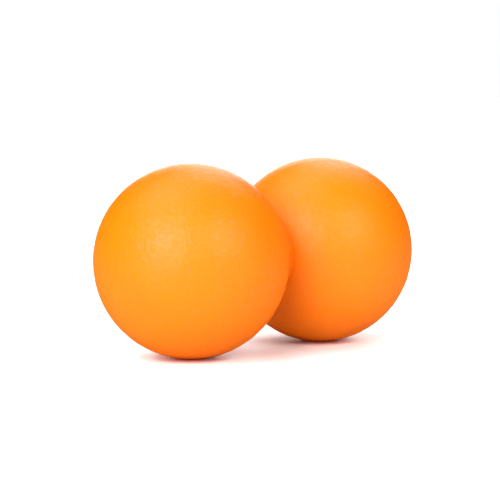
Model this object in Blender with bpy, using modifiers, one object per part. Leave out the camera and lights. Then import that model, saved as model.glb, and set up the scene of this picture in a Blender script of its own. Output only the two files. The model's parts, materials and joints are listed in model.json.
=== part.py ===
"""Peanut massage ball: two solid rubber balls bonded end to end at a narrow waist.

Units are metres and +Z is up. The balls lie along X on the plane Z = 0, the front one
at -X and the rear one at +X, with the origin on that plane midway between them.
Each ball has a shallow land buffed into it round the waist, ending in a flat face.
A disc of bonding gum joins the two faces, and a turned bead of the same rubber as the
balls sits on both lands and rounds off the crease between them.
"""

import math

import bmesh
import bpy
from mathutils import Matrix

# Driving dimensions
BALL_DIAMETER = 0.063
CENTRE_SPACING = 0.061
CREASE_FILLET = 0.003
LAND_DEPTH = 0.0006
GUM_THICKNESS = 0.0006
BEAD_ROOT_WIDTH = 0.0008
CONTACT_FLATTENING = 0.0002
FIT_GAP = 0.0003

# Facets of the turned shapes
TURN_STEPS = 64
BALL_ARC_STEPS = 27
LAND_ARC_STEPS = 3
FILLET_ARC_STEPS = 8
WELD_DISTANCE = 0.00001
SHARP_ANGLE = math.radians(35)

# Finish: linear base colour and roughness
ORANGE_RUBBER = (0.93, 0.21, 0.006)
CURED_GUM = (0.42, 0.16, 0.035)
RUBBER_ROUGHNESS = 0.55
GUM_ROUGHNESS = 0.7

# Sizes that follow from the driving dimensions
BALL_RADIUS = BALL_DIAMETER / 2
HALF_SPACING = CENTRE_SPACING / 2
AXIS_HEIGHT = BALL_RADIUS - CONTACT_FLATTENING
LAND_RADIUS = BALL_RADIUS - LAND_DEPTH
BEAD_SEAT_RADIUS = LAND_RADIUS + FIT_GAP
FACE_DISTANCE = HALF_SPACING - GUM_THICKNESS / 2 - FIT_GAP

# Angles at a ball's centre, measured from the axis on the waist side
FILLET_TANGENT = math.acos(HALF_SPACING / (BALL_RADIUS + CREASE_FILLET))
LAND_EDGE = FILLET_TANGENT + FIT_GAP / BALL_RADIUS
FACE_EDGE = math.acos(FACE_DISTANCE / LAND_RADIUS)
BEAD_ROOT = math.acos((HALF_SPACING - BEAD_ROOT_WIDTH / 2) / BEAD_SEAT_RADIUS)

GUM_RADIUS = BEAD_SEAT_RADIUS * math.sin(BEAD_ROOT) - FIT_GAP
FILLET_CENTRE = (BALL_RADIUS + CREASE_FILLET) * math.sin(FILLET_TANGENT)
FILLET_HALF_ANGLE = math.pi / 2 - FILLET_TANGENT


def clear_scene():
    """Remove every object that the file opened with."""
    for obj in list(bpy.data.objects):
        bpy.data.objects.remove(obj, do_unlink=True)


def new_collection(name):
    """A collection under the scene's own."""
    collection = bpy.data.collections.new(name)
    bpy.context.scene.collection.children.link(collection)
    return collection


def plain_material(name, colour, roughness):
    """A Principled material with one colour and roughness."""
    material = bpy.data.materials.new(name)
    material.use_nodes = True
    shader = material.node_tree.nodes["Principled BSDF"]
    shader.inputs["Base Color"].default_value = (*colour, 1.0)
    shader.inputs["Roughness"].default_value = roughness
    shader.inputs["Metallic"].default_value = 0.0
    material.diffuse_color = (*colour, 1.0)
    return material


def arc(radius, start, end, steps):
    """Points (across, along) on a circle, with the angle measured from the along axis."""
    angles = [start + (end - start) * step / steps for step in range(steps + 1)]
    return [(radius * math.sin(angle), radius * math.cos(angle)) for angle in angles]


def turned_piece(name, profile, closed):
    """Turn (radius, height) points, listed down the outer side, about local Z."""
    mesh = bpy.data.meshes.new(name)
    outline = bmesh.new()
    points = [outline.verts.new((radius, 0.0, height)) for radius, height in profile]
    for upper, lower in zip(points, points[1:]):
        outline.edges.new((upper, lower))
    if closed:
        outline.edges.new((points[-1], points[0]))
    outline.to_mesh(mesh)
    outline.free()

    piece = bpy.data.objects.new(name, mesh)
    turn = piece.modifiers.new("Turn", "SCREW")
    turn.axis = "Z"
    turn.steps = TURN_STEPS
    turn.render_steps = TURN_STEPS
    turn.use_merge_vertices = True
    turn.merge_threshold = WELD_DISTANCE
    return piece


def ball_profile():
    """Bonding face, buffed land, step up to the ball and the ball's round, towards -Z."""
    face_centre = [(0.0, FACE_DISTANCE)]
    land = arc(LAND_RADIUS, FACE_EDGE, LAND_EDGE, LAND_ARC_STEPS)
    round_side = arc(BALL_RADIUS, LAND_EDGE, math.pi, BALL_ARC_STEPS)
    far_pole = [(0.0, -BALL_RADIUS)]
    return face_centre + land + round_side[:-1] + far_pole


def bead_profile():
    """Concave fillet outside, then both seats on the balls' lands, round the waist."""
    fillet = [
        (FILLET_CENTRE - across, -along)
        for across, along in arc(
            CREASE_FILLET,
            math.pi / 2 + FILLET_HALF_ANGLE,
            math.pi / 2 - FILLET_HALF_ANGLE,
            FILLET_ARC_STEPS,
        )
    ]
    seat = arc(BEAD_SEAT_RADIUS, FILLET_TANGENT, BEAD_ROOT, LAND_ARC_STEPS)
    lower_seat = [(across, along - HALF_SPACING) for across, along in seat]
    upper_seat = [(across, HALF_SPACING - along) for across, along in reversed(seat)]
    return fillet + lower_seat + upper_seat


def gum_disc(name):
    """The thin disc of cured gum between the two bonding faces."""
    mesh = bpy.data.meshes.new(name)
    disc = bmesh.new()
    bmesh.ops.create_cone(
        disc,
        cap_ends=True,
        segments=TURN_STEPS,
        radius1=GUM_RADIUS,
        radius2=GUM_RADIUS,
        depth=GUM_THICKNESS,
    )
    disc.to_mesh(mesh)
    disc.free()
    return bpy.data.objects.new(name, mesh)


def floor_cutter(collection):
    """A block whose top is the plane that the balls rest on."""
    mesh = bpy.data.meshes.new("floor_cutter")
    block = bmesh.new()
    bmesh.ops.create_cube(block, size=1.0)
    length = CENTRE_SPACING + 2 * BALL_DIAMETER
    size = Matrix.Diagonal((length, 2 * BALL_DIAMETER, BALL_RADIUS, 1.0))
    bmesh.ops.transform(block, matrix=size, verts=block.verts)
    block.to_mesh(mesh)
    block.free()
    cutter = bpy.data.objects.new("floor_cutter", mesh)
    cutter.location = (0.0, 0.0, -BALL_RADIUS / 2)
    cutter.hide_render = True
    cutter.display_type = "WIRE"
    collection.objects.link(cutter)
    return cutter


def flatten_underside(ball, cutter):
    """Cut the small flat on which a soft rubber ball stands."""
    flat = ball.modifiers.new("Contact flat", "BOOLEAN")
    flat.operation = "DIFFERENCE"
    flat.solver = "EXACT"
    flat.object = cutter


def place(piece, collection, parent, x, heading):
    """Put a turned piece on the long axis, its local Z along +X turned by heading."""
    collection.objects.link(piece)
    piece.parent = parent
    piece.location = (x, 0.0, AXIS_HEIGHT)
    piece.rotation_euler = (0.0, math.pi / 2, heading)


def finish(piece, material):
    """Apply the modifiers, shade the round faces smooth and give the piece its material."""
    depsgraph = bpy.context.evaluated_depsgraph_get()
    mesh = bpy.data.meshes.new_from_object(piece.evaluated_get(depsgraph))
    piece.modifiers.clear()
    piece.data = mesh
    mesh.name = piece.name
    mesh.shade_smooth()
    mesh.set_sharp_from_angle(angle=SHARP_ANGLE)
    mesh.materials.clear()
    mesh.materials.append(material)


def main():
    clear_scene()
    parts = new_collection("Peanut massage ball")
    cutters = new_collection("Cutters")
    root = bpy.data.objects.new("peanut_massage_ball", None)
    parts.objects.link(root)
    cutter = floor_cutter(cutters)

    front_ball = turned_piece("front_ball", ball_profile(), closed=False)
    rear_ball = turned_piece("rear_ball", ball_profile(), closed=False)
    waist_bead = turned_piece("waist_bead", bead_profile(), closed=True)
    bond_disc = gum_disc("bond_disc")

    place(front_ball, parts, root, -HALF_SPACING, 0.0)
    place(rear_ball, parts, root, HALF_SPACING, math.pi)
    place(waist_bead, parts, root, 0.0, 0.0)
    place(bond_disc, parts, root, 0.0, 0.0)
    for ball in (front_ball, rear_ball):
        flatten_underside(ball, cutter)

    for piece in (front_ball, rear_ball, waist_bead):
        finish(piece, plain_material(piece.name + "_rubber", ORANGE_RUBBER, RUBBER_ROUGHNESS))
    finish(bond_disc, plain_material("bond_disc_gum", CURED_GUM, GUM_ROUGHNESS))


if __name__ == "__main__":
    main()
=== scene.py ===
"""Looks of a peanut massage ball: two grained orange rubber balls bonded at a narrow waist.

The file is laid out as an add-on and is run as a script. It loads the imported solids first,
takes its sizes from them, and makes a skin for each ball and for the bead round the waist.
Units are metres and +Z is up. The balls lie along X, the front one at -X.
"""

import json
import math

import bmesh
import bpy
from bpy.props import FloatProperty, FloatVectorProperty, IntProperty, PointerProperty
from mathutils import Matrix, Vector, noise


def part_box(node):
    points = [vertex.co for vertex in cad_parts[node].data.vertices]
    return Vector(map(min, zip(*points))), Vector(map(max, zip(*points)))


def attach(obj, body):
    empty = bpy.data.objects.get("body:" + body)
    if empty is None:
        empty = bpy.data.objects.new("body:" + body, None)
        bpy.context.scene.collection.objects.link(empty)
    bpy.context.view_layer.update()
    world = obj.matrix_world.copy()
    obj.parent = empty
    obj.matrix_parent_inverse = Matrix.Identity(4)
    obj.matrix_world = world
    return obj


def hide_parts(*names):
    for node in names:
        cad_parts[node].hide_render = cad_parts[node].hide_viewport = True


bl_info = {
    "name": "Peanut massage ball",
    "version": (1, 0, 0),
    "blender": (4, 5, 0),
    "location": "View3D > Sidebar > Peanut ball",
    "description": "Builds the rubber skins, the bead, the gum and the stage of a peanut massage ball",
    "category": "Add Mesh",
}

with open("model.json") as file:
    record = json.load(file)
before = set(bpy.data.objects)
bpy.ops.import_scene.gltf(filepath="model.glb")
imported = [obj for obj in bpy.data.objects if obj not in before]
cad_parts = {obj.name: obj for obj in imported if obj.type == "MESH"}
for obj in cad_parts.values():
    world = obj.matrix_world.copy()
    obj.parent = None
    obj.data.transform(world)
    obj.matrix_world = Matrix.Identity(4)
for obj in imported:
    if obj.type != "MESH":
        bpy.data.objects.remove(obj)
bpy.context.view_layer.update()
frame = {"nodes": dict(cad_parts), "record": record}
MILLIMETRE = 0.001

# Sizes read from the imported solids
FRONT_LOW, FRONT_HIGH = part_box("front_ball")
BEAD_LOW, BEAD_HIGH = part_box("waist_bead")
DISC_LOW, DISC_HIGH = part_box("bond_disc")
FRONT_REST = next(m for m in frame["record"]["mounts"] if m["name"] == "front_rest")
HALF_SPACING = -FRONT_REST["pos_m"][0]
BALL_RADIUS = -FRONT_LOW.x - HALF_SPACING
AXIS_HEIGHT = (DISC_LOW.z + DISC_HIGH.z) / 2
BONDING_FACE = FRONT_HIGH.x + HALF_SPACING
TANGENT_RADIUS = (BEAD_HIGH.y - BEAD_LOW.y) / 2

# Angles at a ball's centre, measured from the axis on the waist side
TANGENT_ANGLE = math.asin(TANGENT_RADIUS / BALL_RADIUS)
CREASE_FILLET = HALF_SPACING / math.cos(TANGENT_ANGLE) - BALL_RADIUS
FILLET_CENTRE = (BALL_RADIUS + CREASE_FILLET) * math.sin(TANGENT_ANGLE)

SHARP_ANGLE = math.radians(35)
SEAT_GAP = 0.01 * MILLIMETRE
SENSOR_WIDTH_MM = 36.0
PHOTO_PIXELS = 500

# Most values of a noise texture lie between these
NOISE_LOW, NOISE_HIGH = 0.3, 0.7
# The colour sockets of a Mix node, which share their names with its other sockets
MIX_A, MIX_B, MIX_RESULT = 6, 7, 2


def linear(hex_colour):
    """An sRGB hex colour such as #FF8800 as linear red, green and blue."""
    channels = (int(hex_colour[i : i + 2], 16) / 255 for i in (1, 3, 5))
    return tuple(c / 12.92 if c <= 0.04045 else ((c + 0.055) / 1.055) ** 2.4 for c in channels)


def smoothstep(low, high, value):
    """0 below low, 1 above high and an S-shaped rise between them."""
    share = min(1.0, max(0.0, (value - low) / (high - low)))
    return share * share * (3 - 2 * share)


class BallProperties(bpy.types.PropertyGroup):
    """Sizes and colours of the two balls."""

    radius: FloatProperty(
        name="Radius",
        description="Radius of each ball",
        default=BALL_RADIUS,
        unit="LENGTH",
    )
    half_spacing: FloatProperty(
        name="Half spacing",
        description="Distance from the waist to a ball's centre",
        default=HALF_SPACING,
        unit="LENGTH",
    )
    divisions: IntProperty(
        name="Divisions",
        description="Quads along each of the six square patches that make up a ball",
        default=128,
        min=8,
        max=128,
    )
    grain_pitch: FloatProperty(
        name="Grain pitch",
        description="Distance between neighbouring wrinkles of the leather grain",
        default=1.7 * MILLIMETRE,
        unit="LENGTH",
    )
    grain_depth: FloatProperty(
        name="Grain depth",
        description="Height of the wrinkles above the skin between them",
        default=0.08 * MILLIMETRE,
        unit="LENGTH",
    )
    colour: FloatVectorProperty(
        name="Rubber colour",
        description="Colour of the rubber where it is palest",
        default=linear("#DA6A04"),
        subtype="COLOR",
        min=0.0,
        max=1.0,
    )
    deep_colour: FloatVectorProperty(
        name="Deep colour",
        description="Colour of the rubber where it is deepest",
        default=linear("#D86803"),
        subtype="COLOR",
        min=0.0,
        max=1.0,
    )


class WaistProperties(bpy.types.PropertyGroup):
    """Sizes and colours of the bead and of the gum between the balls."""

    fillet: FloatProperty(
        name="Fillet",
        description="Radius of the bead's hollow",
        default=CREASE_FILLET,
        unit="LENGTH",
    )
    lip: FloatProperty(
        name="Lip",
        description="Width of the thin lip with which the bead laps over each ball",
        default=0.6 * MILLIMETRE,
        unit="LENGTH",
    )
    land_depth: FloatProperty(
        name="Land depth",
        description="Depth of the land that the bead sits on",
        default=0.6 * MILLIMETRE,
        unit="LENGTH",
    )
    unevenness: FloatProperty(
        name="Unevenness",
        description="Height of the slow waves that smoothing by hand leaves in the bead",
        default=0.03 * MILLIMETRE,
        unit="LENGTH",
    )
    # Deeper than the balls' rubber: painted shade in the crease
    bead_colour_and_crease_shade: FloatVectorProperty(
        name="Bead colour",
        description="Colour of the bead's rubber",
        default=linear("#D66204"),
        subtype="COLOR",
        min=0.0,
        max=1.0,
    )
    gum_colour: FloatVectorProperty(
        name="Gum colour",
        description="Colour of the cured bonding gum",
        default=linear("#AD6F35"),
        subtype="COLOR",
        min=0.0,
        max=1.0,
    )


class StageProperties(bpy.types.PropertyGroup):
    """The camera, the floor and the studio lights."""

    azimuth: FloatProperty(
        name="Azimuth",
        description="Turn of the camera round the object, from looking along +Y",
        default=math.radians(-45.56),
        subtype="ANGLE",
    )
    elevation: FloatProperty(
        name="Elevation",
        description="How far the camera looks down",
        default=math.radians(5.09),
        subtype="ANGLE",
    )
    depth: FloatProperty(
        name="Depth",
        description="Distance from the camera to the front ball's centre along the view",
        default=0.6714,
        unit="LENGTH",
    )
    focal_length: FloatProperty(
        name="Focal length",
        description="Focal length of the camera in millimetres",
        default=150.58,
        unit="CAMERA",
    )
    room_strength: FloatProperty(
        name="Room strength",
        description="Brightness of the light that the white room throws on the object",
        default=0.1,
        min=0.0,
    )
    key_strength: FloatProperty(
        name="Key strength",
        description="Light from the left of the camera, in watts per square metre",
        default=5.3,
        min=0.0,
    )
    fill_strength: FloatProperty(
        name="Fill strength",
        description="Light from the right of the camera, in watts per square metre",
        default=2.3,
        min=0.0,
    )
    backdrop_strength: FloatProperty(
        name="Backdrop strength",
        description="Light from the bright backdrop behind the object, in watts per square metre",
        default=1.15,
        min=0.0,
    )
    rim_strength: FloatProperty(
        name="Rim strength",
        description="Light from behind that edges the tops of the balls, in watts per square metre",
        default=1.2,
        min=0.0,
    )
    top_strength: FloatProperty(
        name="Top strength",
        description="Light from high up on the left, in watts per square metre",
        default=1.8,
        min=0.0,
    )
    floor_colour: FloatVectorProperty(
        name="Floor colour",
        description="Colour of the floor",
        default=linear("#F4F4F4"),
        subtype="COLOR",
        min=0.0,
        max=1.0,
    )
    # Painted contact shade: the floor's colour close under the rubber
    painted_contact_shade_colour: FloatVectorProperty(
        name="Contact colour",
        description="Colour of the floor close under the rubber",
        default=linear("#FFBCAE"),
        subtype="COLOR",
        min=0.0,
        max=1.0,
    )


def add_node(material, kind, inputs=None, **settings):
    """Add a node with its settings. Each input is a value or the output socket that feeds it."""
    tree = material.node_tree
    node = tree.nodes.new(kind)
    for name, value in settings.items():
        setattr(node, name, value)
    for name, value in (inputs or {}).items():
        if isinstance(value, bpy.types.NodeSocket):
            tree.links.new(value, node.inputs[name])
        else:
            node.inputs[name].default_value = value
    return node


def new_material(name):
    """A node material with nothing but its output."""
    material = bpy.data.materials.new(name)
    material.use_nodes = True
    material.node_tree.nodes.clear()
    return material


def rubber_shader(material, colour, gloss, normal, coat_normal):
    """Rubber: its fillers leave the body matt, and only the thin skin from the mould has a gloss."""
    shader = add_node(
        material,
        "ShaderNodeBsdfPrincipled",
        {
            "Base Color": colour,
            "Roughness": 0.56,
            "IOR": 1.52,
            "Specular IOR Level": 0.0,
            "Coat Weight": gloss,
            "Coat Roughness": 0.36,
            "Coat IOR": 1.5,
            "Normal": normal,
            "Coat Normal": coat_normal,
        },
    )
    add_node(material, "ShaderNodeOutputMaterial", {"Surface": shader.outputs["BSDF"]})


def leather_grained_rubber(props):
    """Solid rubber from a mould with an etched leather grain.

    The body of the rubber is matt and slightly cloudy in colour. The grain shows only in the
    satin gloss of the skin: the wrinkles break up the highlights, and their crests shine more.
    """
    cloud_size = 9 * MILLIMETRE
    crinkle_size = 1.2 * MILLIMETRE
    crinkle_height = 0.3 * MILLIMETRE
    plain_gloss, crest_gloss = 0.34, 0.56
    material = new_material("leather_grained_moulded_rubber")
    place = add_node(material, "ShaderNodeTexCoord").outputs["Object"]
    grain = add_node(material, "ShaderNodeAttribute", attribute_name="grain").outputs["Fac"]
    clouds = add_node(
        material,
        "ShaderNodeTexNoise",
        {"Vector": place, "Scale": 1 / cloud_size, "Detail": 3.0, "Roughness": 0.55},
    ).outputs["Fac"]
    share = add_node(
        material,
        "ShaderNodeMapRange",
        {"Value": clouds, "From Min": NOISE_LOW, "From Max": NOISE_HIGH},
    ).outputs["Result"]
    colour = add_node(
        material,
        "ShaderNodeMix",
        {"Factor": share, MIX_A: (*props.deep_colour, 1.0), MIX_B: (*props.colour, 1.0)},
        data_type="RGBA",
    ).outputs[MIX_RESULT]
    gloss = add_node(
        material,
        "ShaderNodeMapRange",
        {"Value": grain, "To Min": plain_gloss, "To Max": crest_gloss},
    ).outputs["Result"]
    # The etched mould also leaves a finer crinkle, too fine for the mesh
    crinkle = add_node(
        material,
        "ShaderNodeTexNoise",
        {"Vector": place, "Scale": 1 / crinkle_size, "Detail": 2.0, "Distortion": 0.6},
    ).outputs["Fac"]
    coat_normal = add_node(
        material,
        "ShaderNodeBump",
        {"Height": crinkle, "Strength": 1.0, "Distance": crinkle_height},
    ).outputs["Normal"]
    # Light that enters the rubber spreads in it, so that the matt part hardly shows the grain
    outward = add_node(material, "ShaderNodeAttribute", attribute_name="round").outputs["Vector"]
    even_normal = add_node(
        material,
        "ShaderNodeVectorTransform",
        {"Vector": outward},
        vector_type="NORMAL",
        convert_from="OBJECT",
        convert_to="WORLD",
    ).outputs["Vector"]
    rubber_shader(material, colour, gloss, even_normal, coat_normal)
    return material


def smoothed_rubber(props):
    """The balls' rubber, laid in the crease as a paste and smoothed with a wet tool.

    It has no grain, only slow changes in gloss and fine marks that run round the waist. Its colour is
    deeper than the balls': painted shade in the crease.
    """
    mark_length = 2.5 * MILLIMETRE
    mark_height = 0.03 * MILLIMETRE
    length_to_width = 6.0
    material = new_material("smoothed_rubber_bead")
    place = add_node(material, "ShaderNodeTexCoord").outputs["Object"]
    along = add_node(
        material,
        "ShaderNodeMapping",
        {"Vector": place, "Scale": (length_to_width, 1.0, 1.0)},
    ).outputs["Vector"]
    marks = add_node(
        material,
        "ShaderNodeTexNoise",
        {"Vector": along, "Scale": 1 / mark_length, "Detail": 2.0},
    ).outputs["Fac"]
    shade = add_node(
        material,
        "ShaderNodeMapRange",
        {
            "Value": marks,
            "From Min": NOISE_LOW,
            "From Max": NOISE_HIGH,
            "To Min": 0.94,
            "To Max": 1.04,
        },
    ).outputs["Result"]
    # Painted crease shade: the bead's colour is set deeper than the balls'
    colour = add_node(
        material,
        "ShaderNodeHueSaturation",
        {"Color": (*props.bead_colour_and_crease_shade, 1.0), "Value": shade},
    ).outputs["Color"]
    gloss = add_node(
        material,
        "ShaderNodeMapRange",
        {
            "Value": marks,
            "From Min": NOISE_LOW,
            "From Max": NOISE_HIGH,
            "To Min": 0.04,
            "To Max": 0.1,
        },
    ).outputs["Result"]
    normal = add_node(
        material,
        "ShaderNodeBump",
        {"Height": marks, "Strength": 0.4, "Distance": mark_height},
    ).outputs["Normal"]
    rubber_shader(material, colour, gloss, normal, normal)
    return material


def cured_gum(props):
    """Bonding gum pressed between two buffed faces: dull, brown and streaked where it spread."""
    streak_size = 1.5 * MILLIMETRE
    streak_height = 0.05 * MILLIMETRE
    gloss = 0.1
    material = new_material("cured_bonding_gum")
    place = add_node(material, "ShaderNodeTexCoord").outputs["Object"]
    streaks = add_node(
        material,
        "ShaderNodeTexNoise",
        {"Vector": place, "Scale": 1 / streak_size, "Detail": 4.0, "Distortion": 1.2},
    ).outputs["Fac"]
    shade = add_node(
        material,
        "ShaderNodeMapRange",
        {
            "Value": streaks,
            "From Min": NOISE_LOW,
            "From Max": NOISE_HIGH,
            "To Min": 0.8,
            "To Max": 1.1,
        },
    ).outputs["Result"]
    colour = add_node(
        material,
        "ShaderNodeHueSaturation",
        {"Color": (*props.gum_colour, 1.0), "Value": shade},
    ).outputs["Color"]
    normal = add_node(
        material,
        "ShaderNodeBump",
        {"Height": streaks, "Strength": 0.5, "Distance": streak_height},
    ).outputs["Normal"]
    rubber_shader(material, colour, gloss, normal, normal)
    return material


def matt_acrylic(props):
    """A sheet of matt white acrylic, bright all over in the studio light.

    The rubber mirrors it at a tenth of its brightness: a painted darker reflection.
    Close under the rubber its colour turns pinkish red: painted contact shade, standing in for the
    warm shadow there.
    """
    painted_dark_reflection_share = 0.1
    painted_shade_reach = 2.5 * MILLIMETRE
    material = new_material("matt_white_acrylic")
    mirrored = add_node(material, "ShaderNodeLightPath").outputs["Is Glossy Ray"]
    white = Vector(props.floor_colour)
    # Painted contact shade: the more the rubber closes over the floor, the redder its colour
    open_share = add_node(
        material, "ShaderNodeAmbientOcclusion", {"Distance": painted_shade_reach}
    ).outputs["AO"]
    floor_with_painted_shade = add_node(
        material,
        "ShaderNodeMix",
        {"Factor": open_share, MIX_A: (*props.painted_contact_shade_colour, 1.0), MIX_B: (*white, 1.0)},
        data_type="RGBA",
    ).outputs[MIX_RESULT]
    # Painted darker reflection: glossy rays see the floor dimmed to a tenth of its colour
    colour = add_node(
        material,
        "ShaderNodeMix",
        {"Factor": mirrored, MIX_A: floor_with_painted_shade, MIX_B: (*white * painted_dark_reflection_share, 1.0)},
        data_type="RGBA",
    ).outputs[MIX_RESULT]
    shader = add_node(
        material,
        "ShaderNodeBsdfPrincipled",
        {"Base Color": colour, "Roughness": 0.7, "Specular IOR Level": 0.2},
    )
    add_node(material, "ShaderNodeOutputMaterial", {"Surface": shader.outputs["BSDF"]})
    return material


def leather_grain(point, pitch):
    """Height of the grain at a point: 0 on the plain skin and 1 on the crest of a wrinkle."""
    bend, bend_scale = 0.5, 0.7
    wrinkle_width = 0.3
    gap_scale, gap_offset = 1.1, Vector((9.0, 4.0, 7.0))
    gap_low, gap_high = -0.15, 0.25
    place = point / pitch
    place = place + bend * noise.noise_vector(place * bend_scale)
    wrinkle = 1 - smoothstep(0.0, wrinkle_width, abs(noise.noise(place)))
    broken = smoothstep(gap_low, gap_high, noise.noise(place * gap_scale + gap_offset))
    return wrinkle * broken


def ball_skin(props, waist, side):
    """A grained ball on the waist's left (-1) or right (+1), with its land and bonding face."""
    centre = Vector((side * props.half_spacing, 0.0, AXIS_HEIGHT))
    inward = Vector((-side, 0.0, 0.0))
    edge_angle = TANGENT_ANGLE - waist.lip / props.radius
    grain_start = TANGENT_ANGLE + math.radians(1)
    grain_full = TANGENT_ANGLE + math.radians(7)
    snap_distance = 0.05 * MILLIMETRE
    grain_seed = 1
    # Without a seed the noise starts from the time, and the grain would differ on each run
    noise.seed_set(grain_seed)

    ball = bmesh.new()
    bmesh.ops.create_cube(ball, size=2.0)
    bmesh.ops.subdivide_edges(
        ball, edges=ball.edges[:], cuts=props.divisions - 1, use_grid_fill=True
    )
    grain_layer = ball.verts.layers.float.new("grain")
    round_layer = ball.verts.layers.float_vector.new("round")
    for vert in ball.verts:
        # Equal angles along the cube's sides keep the quads of one size
        outward = Vector([math.tan(c * math.pi / 4) for c in vert.co]).normalized()
        strength = smoothstep(grain_start, grain_full, outward.angle(inward))
        grain = strength * leather_grain(centre + outward * props.radius, props.grain_pitch)
        vert[grain_layer] = grain
        vert[round_layer] = outward
        vert.co = centre + outward * (props.radius - props.grain_depth * (strength - grain))
        vert.co.z = max(0.0, vert.co.z)

    edge_plane = centre + inward * props.radius * math.cos(edge_angle)
    bmesh.ops.bisect_plane(
        ball,
        geom=ball.verts[:] + ball.edges[:] + ball.faces[:],
        dist=snap_distance,
        plane_co=edge_plane,
        plane_no=inward,
        use_snap_center=True,
        clear_outer=True,
    )
    land_radius = props.radius - waist.land_depth
    face_angle = math.acos(BONDING_FACE / land_radius)
    for angle in (edge_angle, face_angle):
        rim = [edge for edge in ball.edges if edge.is_boundary]
        added = bmesh.ops.extrude_edge_only(ball, edges=rim)["geom"]
        for vert in (item for item in added if isinstance(item, bmesh.types.BMVert)):
            across = vert.co - centre
            across.x = 0.0
            across.normalize()
            vert.co = centre + land_radius * (
                inward * math.cos(angle) + across * math.sin(angle)
            )
    bmesh.ops.holes_fill(ball, edges=[edge for edge in ball.edges if edge.is_boundary])
    bmesh.ops.recalc_face_normals(ball, faces=ball.faces)
    return ball


def bead_skin(props, radius):
    """The bead: a hollow fillet with a thin lip over each ball and a seat on each land."""
    fillet_steps = 24
    seat_steps = 4
    turn_steps = 360
    root_width = 0.8 * MILLIMETRE
    wave_length = 4 * MILLIMETRE
    half_turn = math.pi / 2 - TANGENT_ANGLE
    lip_angle = TANGENT_ANGLE - (props.lip - SEAT_GAP) / radius
    seat_radius = radius - props.land_depth / 2
    root_angle = math.acos((HALF_SPACING - root_width / 2) / seat_radius)

    points = []
    for step in range(fillet_steps + 1):
        turn = half_turn * (2 * step / fillet_steps - 1)
        points.append(
            (props.fillet * math.sin(turn), FILLET_CENTRE - props.fillet * math.cos(turn))
        )
    under = [(radius + SEAT_GAP, lip_angle)]
    for step in range(seat_steps + 1):
        under.append((seat_radius, lip_angle + (root_angle - lip_angle) * step / seat_steps))
    seat = [(HALF_SPACING - r * math.cos(angle), r * math.sin(angle)) for r, angle in under]
    points += seat + [(-x, across) for x, across in reversed(seat)]

    bead = bmesh.new()
    rings = []
    for step in range(turn_steps):
        turn = 2 * math.pi * step / turn_steps
        outward = Vector((0.0, math.cos(turn), math.sin(turn)))
        ring = []
        for index, (x, across) in enumerate(points):
            place = Vector((x, 0.0, AXIS_HEIGHT)) + outward * across
            if 0 < index < fillet_steps:
                wave = noise.noise(place / wave_length)
                rise = math.sin(math.pi * index / fillet_steps)
                place += outward * props.unevenness * wave * rise
            ring.append(bead.verts.new(place))
        rings.append(ring)
    for ring, following in zip(rings, rings[1:] + rings[:1]):
        for index in range(len(points)):
            after = (index + 1) % len(points)
            bead.faces.new((ring[index], ring[after], following[after], following[index]))
    bmesh.ops.recalc_face_normals(bead, faces=bead.faces)
    return bead


def add_piece(name, shape, material, node):
    """Make a piece of the object from a bmesh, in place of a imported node."""
    mesh = bpy.data.meshes.new(name)
    shape.to_mesh(mesh)
    shape.free()
    mesh.materials.append(material)
    mesh.shade_smooth()
    mesh.set_sharp_from_angle(angle=SHARP_ANGLE)
    piece = bpy.data.objects.new(name, mesh)
    bpy.context.scene.collection.objects.link(piece)
    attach(piece, "root")
    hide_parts(node)


def add_floor(scene, props):
    """A wide floor at the height that the balls rest on."""
    floor_size = 8.0
    mesh = bpy.data.meshes.new("floor")
    plane = bmesh.new()
    bmesh.ops.create_grid(plane, x_segments=1, y_segments=1, size=floor_size / 2)
    plane.to_mesh(mesh)
    plane.free()
    mesh.materials.append(matt_acrylic(props))
    floor = bpy.data.objects.new("floor", mesh)
    scene.collection.objects.link(floor)


def add_room(scene, props):
    """The white room: plain white behind the object, with a weak light from all round."""
    world = bpy.data.worlds.new("white_room")
    world.use_nodes = True
    world.node_tree.nodes.clear()
    ray = add_node(world, "ShaderNodeLightPath").outputs
    strength = add_node(
        world,
        "ShaderNodeMath",
        {0: ray["Is Diffuse Ray"], 1: props.room_strength, 2: ray["Is Camera Ray"]},
        operation="MULTIPLY_ADD",
    ).outputs["Value"]
    white = add_node(
        world, "ShaderNodeBackground", {"Color": (1.0, 1.0, 1.0, 1.0), "Strength": strength}
    ).outputs["Background"]
    add_node(world, "ShaderNodeOutputWorld", {"Surface": white})
    scene.world = world


def add_light(scene, name, right, ahead, swing, height, width, strength):
    """A wide soft light, swing degrees to the right of the camera and height degrees up."""
    swing, height = math.radians(swing), math.radians(height)
    level = right * math.sin(swing) - ahead * math.cos(swing)
    source = level * math.cos(height) + Vector((0.0, 0.0, math.sin(height)))
    data = bpy.data.lights.new(name, "SUN")
    data.angle = math.radians(width)
    data.energy = strength
    light = bpy.data.objects.new(name, data)
    scene.collection.objects.link(light)
    light.rotation_euler = (-source).to_track_quat("-Z", "Y").to_euler()


def add_camera(scene, props, right, ahead):
    """The camera, set so that the front ball's centre falls on its pixel in the photo's frame."""
    front_ball_at = Vector((191.1, 261.3))
    down, level = math.sin(props.elevation), math.cos(props.elevation)
    up = Vector((0.0, 0.0, 1.0))
    view = ahead * level - up * down
    above = up * level + ahead * down
    pixel = props.depth * SENSOR_WIDTH_MM / (props.focal_length * PHOTO_PIXELS)
    offset = (front_ball_at - Vector((PHOTO_PIXELS, PHOTO_PIXELS)) / 2) * pixel
    front_ball = Vector((-scene.peanut_balls.half_spacing, 0.0, AXIS_HEIGHT))
    place = front_ball - view * props.depth - right * offset.x + above * offset.y

    data = bpy.data.cameras.new("camera")
    data.sensor_fit = "HORIZONTAL"
    data.sensor_width = SENSOR_WIDTH_MM
    data.lens = props.focal_length
    camera = bpy.data.objects.new("camera", data)
    scene.collection.objects.link(camera)
    turn = Matrix((right, above, -view)).transposed().to_4x4()
    camera.matrix_world = Matrix.Translation(place) @ turn
    scene.camera = camera


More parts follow.
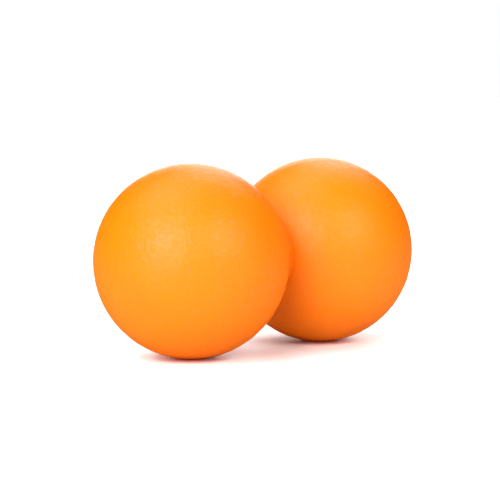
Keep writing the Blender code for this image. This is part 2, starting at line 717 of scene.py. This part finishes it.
class PEANUT_OT_balls(bpy.types.Operator):
    """Add the grained skins of the front and rear balls"""

    bl_idname = "peanut.balls"
    bl_label = "Balls"

    def execute(self, context):
        props = context.scene.peanut_balls
        waist = context.scene.peanut_waist
        rubber = leather_grained_rubber(props)
        for name, side in (("front_ball", -1), ("rear_ball", 1)):
            skin = ball_skin(props, waist, side)
            add_piece(name + "_skin", skin, rubber, name)
        return {"FINISHED"}


class PEANUT_OT_waist_bead(bpy.types.Operator):
    """Add the smoothed bead that fills the crease between the balls"""

    bl_idname = "peanut.waist_bead"
    bl_label = "Waist bead"

    def execute(self, context):
        props = context.scene.peanut_waist
        skin = bead_skin(props, context.scene.peanut_balls.radius)
        add_piece("waist_bead_skin", skin, smoothed_rubber(props), "waist_bead")
        return {"FINISHED"}


class PEANUT_OT_bond_disc(bpy.types.Operator):
    """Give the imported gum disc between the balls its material"""

    bl_idname = "peanut.bond_disc"
    bl_label = "Bond disc"

    def execute(self, context):
        disc = frame["nodes"]["bond_disc"]
        disc.data.materials.clear()
        disc.data.materials.append(cured_gum(context.scene.peanut_waist))
        return {"FINISHED"}


class PEANUT_OT_stage(bpy.types.Operator):
    """Add the floor, the white room, the lights and the camera"""

    bl_idname = "peanut.stage"
    bl_label = "Stage"

    def execute(self, context):
        scene = context.scene
        props = scene.peanut_stage
        scene.view_settings.view_transform = "Standard"
        right = Vector((math.cos(props.azimuth), math.sin(props.azimuth), 0.0))
        ahead = Vector((-math.sin(props.azimuth), math.cos(props.azimuth), 0.0))
        add_floor(scene, props)
        add_room(scene, props)
        # Name, swing to the right of the camera, height and width in degrees, and strength
        lights = (
            ("key_light", -30, 26, 50, props.key_strength),
            ("fill_light", 45, 30, 40, props.fill_strength),
            ("backdrop_light", 180, 12, 24, props.backdrop_strength),
            ("rim_light", 168, 42, 30, props.rim_strength),
            ("top_light", 260, 70, 50, props.top_strength),
        )
        for name, swing, height, width, strength in lights:
            add_light(scene, name, right, ahead, swing, height, width, strength)
        add_camera(scene, props, right, ahead)
        return {"FINISHED"}


class PEANUT_PT_pieces(bpy.types.Panel):
    """Lists what the add-on makes, with its sizes and colours"""

    bl_idname = "PEANUT_PT_pieces"
    bl_label = "Peanut massage ball"
    bl_space_type = "VIEW_3D"
    bl_region_type = "UI"
    bl_category = "Peanut ball"

    def draw(self, context):
        for operator in OPERATORS:
            self.layout.operator(operator.bl_idname)
        for name in PROPERTY_GROUPS:
            group = getattr(context.scene, name)
            box = self.layout.box()
            for prop in group.bl_rna.properties:
                if prop.identifier not in ("rna_type", "name"):
                    box.prop(group, prop.identifier)


PROPERTY_GROUPS = {
    "peanut_balls": BallProperties,
    "peanut_waist": WaistProperties,
    "peanut_stage": StageProperties,
}
OPERATORS = (PEANUT_OT_balls, PEANUT_OT_waist_bead, PEANUT_OT_bond_disc, PEANUT_OT_stage)
CLASSES = (*PROPERTY_GROUPS.values(), *OPERATORS, PEANUT_PT_pieces)


def register():
    """Register the classes and hang the settings on the scene."""
    for cls in CLASSES:
        bpy.utils.register_class(cls)
    for name, group in PROPERTY_GROUPS.items():
        setattr(bpy.types.Scene, name, PointerProperty(type=group))


def unregister():
    """Undo what register did."""
    for name in PROPERTY_GROUPS:
        delattr(bpy.types.Scene, name)
    for cls in reversed(CLASSES):
        bpy.utils.unregister_class(cls)


def main():
    """Build every piece and the stage."""
    register()
    bpy.ops.peanut.balls()
    bpy.ops.peanut.waist_bead()
    bpy.ops.peanut.bond_disc()
    bpy.ops.peanut.stage()


if __name__ == "__main__":
    main()
